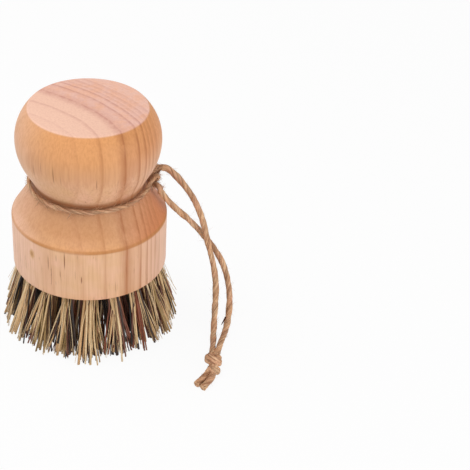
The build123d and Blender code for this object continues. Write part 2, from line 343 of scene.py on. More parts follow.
def streaks_group():
    """Fine streaks along one direction: noise drawn out by a stretch, as a mask and as a height."""
    name = "Fibre streaks"
    if name in bpy.data.node_groups:
        return bpy.data.node_groups[name]
    inputs = {"Vector": None, "Across": 1000.0, "Along": 60.0, "Low": 0.4, "High": 0.65}
    g = GroupGraph(name, inputs, {"Mask": "Float", "Height": "Float"})
    across = g.given["Across"]
    scale = g.out("CombineXYZ", {0: across, 1: across, 2: g.given["Along"]})
    drawn = g.out("VectorMath", {0: g.given["Vector"], 1: scale}, operation="MULTIPLY")
    grain = g.noise(drawn, 1.0, 3.0, 0.6)
    g.add("NodeGroupOutput", {"Mask": g.fit(grain, g.given["Low"], g.given["High"]), "Height": grain})
    return g.tree


def mottle_group():
    """A slow drift of a colour between two tones."""
    name = "Slow mottle"
    if name in bpy.data.node_groups:
        return bpy.data.node_groups[name]
    grey = (0.5, 0.5, 0.5, 1)
    inputs = {"Vector": None, "Scale": 60.0, "Colour": WHITE, "Other Colour": grey, "Amount": 0.5}
    g = GroupGraph(name, inputs, {"Colour": "Color"})
    mask = g.fit(g.noise(g.given["Vector"], g.given["Scale"], 2.0), 0.35, 0.68)
    share = g.times(mask, g.given["Amount"])
    g.add("NodeGroupOutput", {"Colour": g.blend(share, g.given["Colour"], g.given["Other Colour"])})
    return g.tree


# Materials

def finished(name, look, coat, **plain):
    """A material: coat gives its colour, roughness, bump height and distance; the shader takes the rest."""
    material = bpy.data.materials.new(name)
    g = Graph(material)
    base, roughness, height, distance = coat(g, g.add("TexCoord").outputs["Object"], look)
    bump = g.out("Bump", {"Height": height, "Distance": distance, "Strength": 1.0})
    shader = g.add("BsdfPrincipled", {"Base Color": base, "Roughness": roughness, "Normal": bump, **plain})
    g.add("OutputMaterial", {"Surface": shader.outputs[0]})
    return material


def wood_coat(g, where, look):
    """Pale turned wood: year rings round a pith outside the piece, pores, and tones left by the turning."""
    sideways, _, height = g.add("SeparateXYZ", {0: where}).outputs

    # Year rings are upright cylinders round the pith, a little wavy.
    waviness = g.noise(g.out("Mapping", {"Vector": where, "Scale": (42.0, 42.0, 11.0)}), 1.0, 2.0)
    from_pith = g.out("Mapping", {"Vector": where, "Location": PITH, "Scale": (1, 1, 0)})
    radius = g.calc("ADD", g.length(from_pith), g.scaled(waviness, 0.0024, -0.0012))
    share = g.fit(radius, FIRST_RING * MM, LAST_RING * MM, way="LINEAR")
    lines = g.ramp(share, *(
        ((at - FIRST_RING) / (LAST_RING - FIRST_RING), depth) for at, depth in YEAR_RINGS
    ))
    close = g.scaled(g.calc("SINE", g.times(radius, tau / 0.00135)), 0.5, 0.5)
    close = g.times(g.calc("POWER", close, 3.0), g.fit(radius, 0.0572, 0.0600, 0.0, 0.26))
    # The rings show less where fine grain breaks them up.
    broken = g.streaks(where, 520.0, 26.0, 0.30, 0.62)[0]
    rings = g.times(g.calc("MAXIMUM", lines, close), g.scaled(broken, 0.40, 0.60))

    # Tones that follow the turned profile: the slanting cuts, painted shade, the rim, a painted shadow at
    # the waist, and the crown.
    profile = g.fit(height, look.underside, look.crown, way="LINEAR")
    slant = g.ramp(
        profile, (0.0, 0.20), (0.06, 0.0), (0.325, 0.0), (0.334, 0.75), (0.36, 0.50), (0.42, 0.30),
        (0.50, 0.12), (0.60, 0.0), (0.70, 0.08), (0.80, 0.38), (0.88, 0.85), (0.99, 1.0), (1.0, 0.0),
    )
    slant = g.times(slant, g.fit(sideways, -0.026, -0.008, 0.25, 0.95))
    shade = g.ramp(
        profile, (0.0, 0.10), (0.29, 0.0), (0.325, 0.0), (0.35, 0.35), (0.40, 0.85), (0.50, 0.85),
        (0.56, 0.25), (0.66, 0.20), (0.78, 0.62), (0.90, 0.66), (1.0, 0.30),
    )
    shade = g.times(
        shade, g.fit(sideways, -0.026, -0.010, 0.60, 0.95), g.fit(sideways, 0.004, 0.016, 1.0, 0.55)
    )
    rim = g.ramp(profile, (0.314, 0.0), (0.322, 0.85), (0.331, 0.85), (0.340, 0.0))
    rim = g.times(rim, g.fit(waviness, 0.35, 0.6, 0.6, 1.0))
    # Painted shadow in the crease between the head and the twine, weaker towards the right.
    waist = g.ramp(
        profile, (0.505, 0.0), (0.535, 0.60), (0.550, 0.90), (0.562, 0.60), (0.578, 0.12), (0.60, 0.0)
    )
    waist = g.times(waist, g.fit(sideways, 0.002, 0.018, 1.0, 0.55))
    beyond = g.fit(radius, 0.0560, 0.0590)
    deep = g.ramp(
        profile, (0.32, 0.0), (0.335, 1.0), (0.50, 0.75), (0.60, 0.0), (0.75, 0.0), (0.88, 0.28),
        (1.0, 0.2),
    )
    deep = g.times(deep, beyond, g.fit(sideways, 0.010, 0.024, 0.12, 0.85))
    crown = g.fit(height, look.crown - 0.0006, look.crown - 0.0001)
    left = g.fit(sideways, -0.012, -0.025, 0.0, 0.50)
    right = g.fit(sideways, 0.012, 0.024, 0.0, 0.65)
    base = g.mottle(where, 70.0, look.wood, linear(233, 184, 160), 0.70)
    base = g.mottle(where, 150.0, base, linear(218, 174, 126), 0.40)
    top = g.mottle(where, 260.0, linear(238, 194, 176), linear(240, 184, 150), 0.75)
    late = g.blend(crown, look.late_wood, linear(196, 136, 122))
    base = g.layers(
        base, (g.calc("MAXIMUM", left, right), linear(238, 200, 178)), (shade, linear(192, 139, 97)),
        (slant, look.warm_wood), (deep, linear(204, 122, 72)), (rim, linear(186, 124, 64)),
        (waist, look.waist), (crown, g.blend(beyond, look.end_grain, top)), (g.times(rings, 0.90), late),
    )

    # Grain along the handle: fine streaks, longer dark ones in patches, and short dark pores.
    fine, fine_height = g.streaks(where, 1500.0, 48.0, 0.34, 0.70)
    patches = g.fit(g.noise(where, 75.0, 1.0), 0.40, 0.62, 0.10, 1.0)
    upright = g.ramp(
        profile, (0.0, 0.7), (0.30, 0.7), (0.325, 0.0), (0.52, 0.0), (0.58, 0.6), (0.70, 0.6), (0.80, 0.0),
    )
    dark_lines = g.times(g.streaks(where, 1050.0, 62.0, 0.57, 0.70)[0], patches, upright, 0.55)
    dashes = g.times(g.streaks(where, 1900.0, 120.0, 0.62, 0.70)[0], upright, patches)
    base = g.layers(base, (g.times(fine, 0.20), late), (dark_lines, look.pores), (dashes, look.pores))
    for azimuth, out, rise, wide, tall, strength in GRAIN_MARKS:
        turned = radians(azimuth)
        at = (unit_at(turned) * out + Vector((0, 0, rise))) * MM
        mark = g.spot(where, at, (0.005, wide * MM, tall * MM), turned)
        base = g.blend(g.fit(mark, 0.30, 1.0, strength, 0.0), base, look.pores)

    # One small brown knot mark on the base.
    mark = g.spot(where, (-0.0200, -0.0189, 0.0391), (0.0011, 0.0011, 0.0021))
    mark = g.calc("MULTIPLY_ADD", g.noise(where, 900.0, 2.0), 0.9, mark)
    base = g.layers(
        base, (g.fit(mark, 0.90, 1.75, 0.75, 0.0), linear(190, 140, 76)),
        (g.fit(mark, 0.50, 0.95, 0.65, 0.0), linear(136, 86, 44)),
    )
    rough = g.scaled(crown, 0.12, g.scaled(fine, 0.10, 0.50))
    return base, rough, g.scaled(dashes, -0.8, fine_height), 0.00006


def fibre_coat(g, where, look):
    """Plant fibre: each fibre has a tone of its own, streaked along its length and paler at its cut tip."""
    tone = g.add("Attribute", attribute_name="tone").outputs["Fac"]
    along = g.streaks(where, 1900.0, 110.0, 0.3, 0.7)[1]
    body = g.ramp(
        g.calc("ADD", tone, g.scaled(along, 0.12, -0.06)),
        (0.0, look.dark), (0.16, linear(58, 40, 30)), (0.30, look.brown), (0.42, look.red),
        (0.54, linear(120, 96, 56)), (0.64, look.olive), (0.76, look.straw), (0.88, linear(214, 180, 132)),
        (1.0, look.cream),
    )
    body = g.blend(g.times(g.streaks(where, 2600.0, 300.0, 0.60, 0.72)[0], 0.35), body, look.dark)
    return body, g.scaled(along, 0.25, 0.38), along, 0.00005


def jute_coat(g, where, look):
    """Jute twine: fine fibres that follow the lay of the plies, drifting from pale to brown, with painted
    shade between the plies.
    """
    lay = g.add("Attribute", attribute_name="lay").outputs["Vector"]
    valley = g.add("Attribute", attribute_name="valley").outputs["Fac"]
    fine, fine_height = g.streaks(lay, 3400.0, 90.0, 0.36, 0.68)
    broad = g.streaks(lay, 1700.0, 60.0, 0.45, 0.62)[0]
    grey = g.streaks(lay, 2300.0, 38.0, 0.50, 0.64)[0]
    base = g.mottle(where, 150.0, look.tan, look.pink, 1.0)
    base = g.mottle(where, 330.0, base, look.pale, 0.50)
    base = g.mottle(where, 210.0, base, linear(172, 108, 70), 0.65)
    # Painted shade: brown in the grooves between the plies, and near black on the darkest spurs.
    base = g.layers(
        base, (g.times(grey, 0.34), linear(164, 136, 122)), (g.times(broad, 0.72), look.brown),
        (g.times(fine, 0.42), look.pale), (g.calc("MULTIPLY", valley, 0.26, clamp=True), look.brown),
        (g.fit(valley, 1.1, 1.9), linear(74, 44, 28)),
    )
    return base, g.scaled(fine, -0.15, 0.88), g.scaled(broad, 0.5, fine_height), 0.00016


def wire_coat(g, where, look):
    """Drawn steel wire of the staples, dulled by scratches along it."""
    scratches, height = g.streaks(where, 4200.0, 900.0, 0.40, 0.66)
    base = g.mottle(where, 800.0, (0.56, 0.55, 0.53, 1.0), (0.40, 0.37, 0.34, 1.0), 0.7)
    return base, g.scaled(scratches, 0.25, 0.28), height, 0.00001


MATERIALS = {
    "Turned wood": (wood_coat, {"Specular IOR Level": 0.30}),
    "Plant fibre": (fibre_coat, {"Specular IOR Level": 0.4}),
    "Jute twine": (jute_coat, {"Specular IOR Level": 0.2}),
    "Staple wire": (wire_coat, {"Metallic": 1.0}),
}


def shared_material(name, look=None):
    coat, plain = MATERIALS[name]
    return bpy.data.materials.get(name) or finished(name, look, coat, **plain)


# Shapes

def as_mesh(shape, name):
    mesh = bpy.data.meshes.new(name)
    shape.to_mesh(mesh)
    shape.free()
    return mesh


def new_object(name, data):
    made = bpy.data.objects.new(name, data)
    bpy.context.scene.collection.objects.link(made)
    return made


def finish_piece(name, shape, material, body, replaced=()):
    """Turns a bmesh into a piece of the scene that rides on a body and stands for its CAD nodes."""
    piece = new_object(name, as_mesh(shape, name))
    piece.data.materials.append(material)
    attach(piece, body)
    if replaced:
        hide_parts(*replaced)
    return piece


def arc_from(shape, start, centre, angle, steps):
    """Draws on from a vertex along an arc in the plane of the profile and returns the last vertex."""
    made = bmesh.ops.spin(
        shape, geom=[start], cent=centre, axis=(0, 1, 0), angle=angle, steps=steps, use_merge=False
    )
    return next(v for v in made["geom_last"] if isinstance(v, bmesh.types.BMVert))


def line_from(shape, start, end):
    vertex = shape.verts.new(end)
    shape.edges.new((start, vertex))
    return vertex


def handle_profile(look):
    """The turned outline as a chain of edges, from the underside round to the middle of the crown."""
    base, neck, head, crown = (
        d / 2 for d in (look.base_diameter, look.neck_diameter, look.head_diameter, look.crown_diameter)
    )
    shape = bmesh.new()
    start = shape.verts.new((base - 1.8 * look.base_edge, 0, look.underside))
    low = line_from(shape, start, (base, 0, look.underside))
    rim = line_from(shape, low, (base, 0, look.rim))
    waist = line_from(shape, rim, (neck, 0, look.neck))
    way = Vector((head - neck, 0, look.flare - look.neck)).normalized()
    flare_end = Vector((head, 0, look.flare)) - way * look.head_rise
    last = line_from(shape, waist, flare_end)
    # The head: one arc from the flare to the widest place, then one from there to the crown.
    slope = atan2(way.x, way.z)
    radius = look.head_rise / tan(slope / 2)
    last = arc_from(shape, last, (head - radius, 0, look.flare + look.head_rise), -slope, 8)
    rise, inset = look.crown - look.flare - look.head_rise, head - crown
    radius = (rise * rise + inset * inset) / (2 * inset)
    sweep = asin(rise / radius)
    edge = arc_from(shape, last, (head - radius, 0, look.flare + look.head_rise), -sweep, 16)
    line_from(shape, edge, (0, 0, look.crown))
    shoulder_turn = atan2(base - neck, look.neck - look.rim)
    for vertex, edge_radius, turning, segments in (
        (low, look.base_edge, pi / 2, 5),
        (rim, look.rim_edge, shoulder_turn, 4),
        (waist, look.neck_cove, shoulder_turn + slope, 10),
        (edge, look.crown_edge, pi / 2 - sweep, 4),
    ):
        bmesh.ops.bevel(
            shape, geom=[vertex], offset=edge_radius * tan(turning / 2), offset_type="OFFSET",
            segments=segments, profile=0.5, affect="VERTICES", material=-1,
        )
    return shape


def ring_places(look):
    """Centre and number of each tuft, named as in the CAD model."""
    places = {"tuft_centre_01": Vector((0, 0, 0))}
    for ring, label in zip(range(1, look.rings + 1), ("inner", "middle", "outer")):
        number_in_ring = 6 * ring
        for index in range(number_in_ring):
            angle = tau * (index + 0.5) / number_in_ring
            places[f"tuft_{label}_{index + 1:02d}"] = unit_at(angle) * look.ring_spacing * ring
    return places


def drilled_underside(look, rim_radius):
    """The underside: a disc with a blind hole for each tuft."""
    shape = bmesh.new()
    bmesh.ops.create_circle(
        shape, segments=192, radius=rim_radius, matrix=Matrix.Translation((0, 0, look.underside))
    )
    hole_edges = []
    for centre in ring_places(look).values():
        before = set(shape.edges)
        bmesh.ops.create_circle(
            shape, segments=28, radius=look.hole_diameter / 2,
            matrix=Matrix.Translation(centre + Vector((0, 0, look.underside))),
        )
        hole_edges.append([e for e in shape.edges if e not in before])
    bmesh.ops.triangle_fill(
        shape, use_beauty=True, use_dissolve=False, edges=shape.edges[:], normal=(0, 0, -1)
    )
    for edges in hole_edges:
        made = bmesh.ops.extrude_edge_only(shape, edges=edges)["geom"]
        raised = [v for v in made if isinstance(v, bmesh.types.BMVert)]
        bmesh.ops.translate(shape, verts=raised, vec=(0, 0, look.hole_depth))
        bmesh.ops.edgeloop_fill(shape, edges=[
            e for e in made if isinstance(e, bmesh.types.BMEdge) and all(v in raised for v in e.verts)
        ])
    return as_mesh(shape, "drilled underside")


def upright_template(name, sides, tip_radius, middle, capped):
    """One straight upright run of unit length and root radius, in four lengths."""
    shape = bmesh.new()
    bmesh.ops.create_cone(
        shape, cap_ends=capped, segments=sides, radius1=1.0, radius2=tip_radius, depth=1.0,
        matrix=Matrix.Translation((0, 0, middle)),
    )
    upright = [e for e in shape.edges if abs(e.verts[0].co.z - e.verts[1].co.z) > 0.5]
    bmesh.ops.subdivide_edges(shape, edges=upright, cuts=3, use_grid_fill=True)
    return as_mesh(shape, name)


def mark_sharp_edges(shape, angle):
    """Smooth faces with creases where the surface turns by more than this."""
    for face in shape.faces:
        face.smooth = True
    for edge in shape.edges:
        if len(edge.link_faces) == 2 and edge.calc_face_angle(0) > angle:
            edge.smooth = False


# Twine

def read_route(points):
    """Points along the smooth spline of a route given in millimetres, in metres."""
    curve = bpy.data.curves.new("route", "CURVE")
    curve.dimensions = "3D"
    curve.resolution_u = 26
    spline = curve.splines.new("NURBS")
    spline.points.add(len(points) - 1)
    for point, co in zip(spline.points, points):
        point.co = (*(Vector(co) * MM), 1.0)
    spline.order_u = 3
    spline.use_endpoint_u = True
    holder = new_object("route", curve)
    bpy.context.view_layer.update()
    mesh = bpy.data.meshes.new_from_object(holder)
    path = [v.co.copy() for v in mesh.vertices]
    bpy.data.meshes.remove(mesh)
    bpy.data.objects.remove(holder)
    bpy.data.curves.remove(curve)
    return path


def frames_along(path):
    """Distance, direction, side and up at each point of a path, turning as little as they can."""
    distances, ways = [0.0], []
    for before, after in zip(path, path[1:]):
        distances.append(distances[-1] + (after - before).length)
    for index in range(len(path)):
        before, after = path[max(index - 1, 0)], path[min(index + 1, len(path) - 1)]
        ways.append((after - before).normalized())
    side = ways[0].orthogonal().normalized()
    frames = []
    for index, way in enumerate(ways):
        if index:
            side = ways[index - 1].rotation_difference(way) @ side
        side = (side - way * side.dot(way)).normalized()
        frames.append((distances[index], way, side, way.cross(side)))
    return frames


def twine_layers(shape):
    """What the twine's material reads at a vertex: its place in the lay, and its depth between the plies,
    painted as shade.
    """
    vectors, floats = shape.verts.layers.float_vector, shape.verts.layers.float
    return vectors.get("lay") or vectors.new("lay"), floats.get("valley") or floats.new("valley")


def twine_tube(shape, path, look, seed, radius_share, sides, depth):
    """Sweeps a lobed twine section along a path, turning it with the lay of the plies."""
    lay_layer, groove_shade_layer = twine_layers(shape)
    radius = look.diameter / 2
    frames = frames_along(path)
    total = frames[-1][0]
    rings = []
    for (distance, _, side, up), point in zip(frames, path):
        phase = tau * distance / look.lay
        swell = 1 + 0.16 * noise.noise(Vector((distance * 240, seed * 7.1, 0)))
        share = radius_share(distance / total)
        ring = []
        for index in range(sides):
            angle = tau * index / sides
            lobe = cos(look.plies * (angle - phase))
            groove = max(0.0, -lobe) ** 1.6
            own = angle - phase
            rough = noise.noise(Vector((cos(own) * 1.6, sin(own) * 1.6, distance * 420 + seed * 3.3)))
            reach = radius * share * swell * (0.985 - depth * groove + 0.08 * rough)
            vertex = shape.verts.new(point + (side * cos(angle) + up * sin(angle)) * reach)
            vertex.co.z = max(vertex.co.z, FLOOR_GAP)
            vertex[lay_layer] = (cos(own) * radius, sin(own) * radius, distance + seed * 0.37)
            vertex[groove_shade_layer] = groove
            ring.append(vertex)
        if rings:
            for index in range(sides):
                after = (index + 1) % sides
                shape.faces.new((rings[-1][index], rings[-1][after], ring[after], ring[index])).smooth = True
        rings.append(ring)
    shape.faces.new(tuple(reversed(rings[0])))
    shape.faces.new(tuple(rings[-1]))


def add_hair(shape, template, root, way, curl, length, radius, layers, lay, dark=0.0):
    """Copies the hair template to a root, along a direction, bent towards its curl."""
    lay_layer, groove_shade_layer = layers
    first = len(shape.verts)
    shape.from_mesh(template)
    shape.verts.ensure_lookup_table()
    side = way.orthogonal().normalized()
    up = way.cross(side)
    for vertex in shape.verts[first:]:
        x, y, t = vertex.co
        vertex.co = root + (side * x + up * y) * radius + way * (t * length) + curl * (t * t * length)
        vertex[lay_layer] = lay
        vertex[groove_shade_layer] = dark


def hairs_on(node, path, look, material, seed, per_mm=None, reach=1.0, spurs=(), thick=1.0):
    """Loose hairs that stand off the twine along a path, and thicker spurs at set places."""
    chance = random.Random(seed)
    template = upright_template("hair", 3, 0.25, 0.5, False)
    shape = bmesh.new()
    layers = twine_layers(shape)
    frames = frames_along(path)
    for _ in range(int(frames[-1][0] / MM * (per_mm or look.hairs))):
        index = chance.randrange(len(path))
        distance, way, side, up = frames[index]
        angle = chance.random() * tau
        out = side * cos(angle) + up * sin(angle)
        around = way.cross(out)
        lean = way * chance.choice((-1, 1)) * chance.uniform(0.6, 1.0)
        lean = lean + out * chance.uniform(0.15, 0.75) * reach
        lean = (lean + around * chance.uniform(-0.5, 0.5)).normalized()
        length = chance.uniform(0.6, 1.5) ** 2 * 1.15 * MM
        curl = (out * chance.uniform(-0.55, 0.5) + around * chance.uniform(-0.5, 0.5)) * 0.7
        root = path[index] + out * look.diameter * 0.45
        tip = root + lean * length + curl * length
        if tip.z > HAIR_FLOOR_GAP:
            add_hair(
                shape, template, root, lean, curl, length, chance.uniform(0.022, 0.042) * thick * MM,
                layers, (chance.uniform(-1, 1) * MM, chance.uniform(-1, 1) * MM, distance),
            )
    for start, end, radius, dark in spurs:
        run = (Vector(end) - Vector(start)) * MM
        add_hair(
            shape, template, Vector(start) * MM, run.normalized(), Vector(), run.length, radius * MM,
            layers, (0.0003, 0.0004, run.length), dark,
        )
    bpy.data.meshes.remove(template)
    for face in shape.faces:
        face.smooth = True
    return finish_piece(f"{node}_hairs", shape, material, LOOP)


def twine_run(node, routes, look, material, seed, radius_share, sides=24, depth=0.08):
    """Twine along one or more routes, which stands for a CAD node; returns the piece and the last path."""
    shape = bmesh.new()
    for index, route in enumerate(routes):
        path = read_route(route)
        twine_tube(shape, path, look, seed + index, radius_share, sides, depth)
    return finish_piece(f"{node}_twine", shape, material, LOOP, [node]), path


def twine_of(context):
    """The twine's settings and its material."""
    look = context.scene.palm_brush_twine
    return look, shared_material("Jute twine", look)


# Pieces

class PALMBRUSH_OT_stage(bpy.types.Operator):
    """Make the camera, the lamps, the pale floor and the white surroundings"""
    bl_idname = "palm_brush.stage"
    bl_label = "Stage"

    def execute(self, context):
        look = context.scene.palm_brush_stage
        scene = context.scene
        scene.view_settings.view_transform = "Standard"
        back = Vector((0, -cos(look.elevation), sin(look.elevation)))
        camera = new_object("camera", bpy.data.cameras.new("camera"))
        camera.data.lens = look.lens
        camera.data.clip_start, camera.data.clip_end = 0.01, 20
        straight = (-back).to_track_quat("-Z", "Y")
        framing = Euler((-look.tip, -look.swing, 0), "YXZ").to_quaternion()
        camera.rotation_mode = "QUATERNION"
        camera.location = Vector(look.aim) + back * look.distance
        camera.rotation_quaternion = straight @ framing @ Quaternion((0, 0, 1), look.roll)
        scene.camera = camera
        for name, at, across, energy in (
            ("overhead lamp", (-0.26, 0.06, 0.56), 0.45, look.key_power),
            ("left lamp", (-0.38, -0.56, 0.12), 0.5, look.left_power),
            ("right lamp", (0.52, -0.44, 0.10), 0.5, look.right_power),
        ):
            lamp = bpy.data.lights.new(name, "AREA")
            lamp.shape, lamp.size, lamp.energy = "DISK", across, energy
            holder = new_object(name, lamp)
            holder.location = at
            holder.rotation_mode = "QUATERNION"
            holder.rotation_quaternion = (LAMP_AIM - Vector(at)).to_track_quat("-Z", "Y")
        self.add_floor(look)
        scene.world = bpy.data.worlds.new("White surroundings")
        g = Graph(scene.world)
        lit = g.out("Background", {"Color": WHITE, "Strength": look.sky})
        white = g.out("Background", {"Color": WHITE, "Strength": 1.0})
        self.show(g, "OutputWorld", 1.0, lit, white)
        return {"FINISHED"}

    def show(self, g, output, share, lit, white):
        """White on the rays that show the surroundings: the camera's, and those through gloss and glass."""
        path = g.add("LightPath").outputs
        both = g.calc("MAXIMUM", path["Is Camera Ray"], path["Is Glossy Ray"])
        seen = g.times(g.calc("MAXIMUM", both, path["Is Transmission Ray"]), share)
        g.add(output, {"Surface": g.out("MixShader", {0: seen, 1: lit, 2: white})})

    def add_floor(self, look):
        shape = bmesh.new()
        bmesh.ops.create_grid(shape, x_segments=1, y_segments=1, size=4.0)
        floor = new_object("floor", as_mesh(shape, "floor"))
        material = bpy.data.materials.new("White floor")
        g = Graph(material)
        matt = g.out("BsdfDiffuse", {"Color": look.floor})
        white = g.out("Emission", {"Color": WHITE, "Strength": 1.0})
        self.show(g, "OutputMaterial", 0.93, matt, white)
        floor.data.materials.append(material)


class PALMBRUSH_OT_strands(bpy.types.Operator):
    bl_idname = "palm_brush.strands"
    bl_label = "Strands of the loop"

    def execute(self, context):
        look, material = twine_of(context)
        for name, route, length, seed, swelling, spurs in (
            ("loop_strand_upper", UPPER_ROUTE, 0.0856, 3, 0.22, ()),
            ("loop_strand_lower", LOWER_ROUTE, 0.0894, 5, 0.04, LOWER_SPURS),
        ):
            strand, path = twine_run(
                name, [route], look, material, seed,
                lambda share: 1.09 + swelling * max(0.0, 1 - abs(share - 0.07) / 0.09),
            )
            hairs = hairs_on(name, path, look, material, seed + 20, spurs=spurs)
        return {"FINISHED"}


class PALMBRUSH_OT_winding(bpy.types.Operator):
    """Make the turn of twine round the neck and the half knot that ties it"""
    bl_idname = "palm_brush.winding"
    bl_label = "Turn and half knot"

    def execute(self, context):
        look, material = twine_of(context)
        _, path = twine_run(
            "neck_winding", [self.route(look)], look, material, 11,
            lambda share: 0.76 + 0.33 * max(0.0, 1 - min(share, 1 - share) / 0.10), depth=0.20,
        )
        hairs_on(
            "neck_winding", path, look, material, 41, per_mm=11.0, reach=0.75, spurs=NECK_SPURS, thick=1.9
        )
        return {"FINISHED"}

    def route(self, look):
        """Control points in millimetres: in at the rear, through the half knot, round the neck and back."""
        radius, height = look.turn_radius / MM, look.turn_height / MM
        rho, quarter = look.twist_radius / MM, look.quarter / MM
        fork, wide, middle = radians(20.0), rho * 1.08, radius + rho + 0.2
        out = unit_at(look.hitch)
        along = Vector((-sin(look.hitch), cos(look.hitch), 0))

        def at(reach, shift, rise):
            return out * reach + along * shift + Vector((0, 0, height + rise))

        def twist(front_angle):
            """One end's way round the other, from the rear to the front."""
            eighths = ((eighth, front_angle - eighth * pi / 4) for eighth in range(10, 1, -1))
            return [at(
                middle + wide * cos(angle), quarter * (eighth / 2 - 3), wide * sin(angle),
            ) for eighth, angle in eighths]

        round_neck = []
        for index in range(25):
            angle = look.hitch - fork - (tau - 2 * fork) * index / 24
            wander = 0.10 * noise.noise(Vector((index * 0.8, height, 2.0)))
            round_neck.append(Vector((
                cos(angle) * radius * 1.0055, sin(angle) * radius * 1.0055, height + wander
            )))
        outer = radius + 2 * rho + 0.2
        return [
            at(outer + 2.3, 5.1, -0.2), at(outer + 1.3, 5.1, -0.2), at(outer - 0.4, 4.6, 0.7), *twist(pi),
            *round_neck, *twist(0),
            at(outer - 0.2, -5.0, -1.6), at(outer + 0.1, -5.5, -2.6), at(outer + 0.4, -5.7, -3.4),
        ]


class PALMBRUSH_OT_knot(bpy.types.Operator):
    """Make the overhand knot of the doubled twine and its two cut tails"""
    bl_idname = "palm_brush.knot"
    bl_label = "Knot and tails"

    def execute(self, context):
        look, material = twine_of(context)
        twine_run("end_knot", self.wraps(), look, material, 31, lambda share: 1.18, sides=20)
        for name, route, seed in (
            ("loop_tail_left", LEFT_TAIL_ROUTE, 51), ("loop_tail_right", RIGHT_TAIL_ROUTE, 53)
        ):
            _, path = twine_run(name, [route], look, material, seed, lambda share: 1.05 + 0.20 * share)
            hairs_on(name, path, look, material, seed + 1, per_mm=6.0)
        return {"FINISHED"}

    def wraps(self):
        """The knot's routes in millimetres: two turns of the doubled twine, the small turn and its core."""
        across, inwards, upwards = Vector((1, 0, 0)), Vector((0, 0.83, -0.56)), Vector((0, 0.56, 0.83))
        turns = []
        for middle, wide, deep, first, last, slope, spread in (
            (Vector((43.0, -34.9, 2.95)), 2.0, 1.45, 0.95, -0.95, -0.45, 27),
            (Vector((43.05, -39.5, 2.1)), 1.05, 0.75, 0.35, -0.35, -0.35, 15),
        ):
            points = []
            for index in range(spread):
                angle = tau * index / 12
                rise = first + (last - first) * index / (spread - 1) + slope * cos(angle)
                out = across * (wide * cos(angle)) + inwards * (deep * sin(angle))
                points.append(middle + out + upwards * rise)
            turns.append(points)
        return turns + [
            [(42.3, -31.5, 2.5), (42.5, -34.2, 2.8), (42.5, -36.7, 2.5), (42.3, -39.1, 2.0)],
            [(43.9, -31.5, 2.5), (43.7, -34.2, 2.8), (43.5, -36.7, 2.5), (43.3, -39.1, 2.0)],
        ]


class PALMBRUSH_OT_handle(bpy.types.Operator):
    """Make the turned wooden handle with its drilled underside"""
    bl_idname = "palm_brush.handle"
    bl_label = "Turned handle"

    def execute(self, context):
        look = context.scene.palm_brush_handle
        material = shared_material("Turned wood", look)
        shape = handle_profile(look)
        bmesh.ops.spin(
            shape, geom=shape.verts[:] + shape.edges[:], cent=(0, 0, 0), axis=(0, 0, 1),
            angle=tau, steps=192, use_merge=True,
        )
        underside = drilled_underside(look, look.base_diameter / 2 - 1.8 * look.base_edge)
        shape.from_mesh(underside)
        bpy.data.meshes.remove(underside)
        bmesh.ops.remove_doubles(shape, verts=shape.verts[:], dist=0.00001)
        bmesh.ops.recalc_face_normals(shape, faces=shape.faces[:])
        mark_sharp_edges(shape, radians(28))
        finish_piece("turned_handle", shape, material, BRUSH, ["handle_base", "handle_knob"])
        return {"FINISHED"}


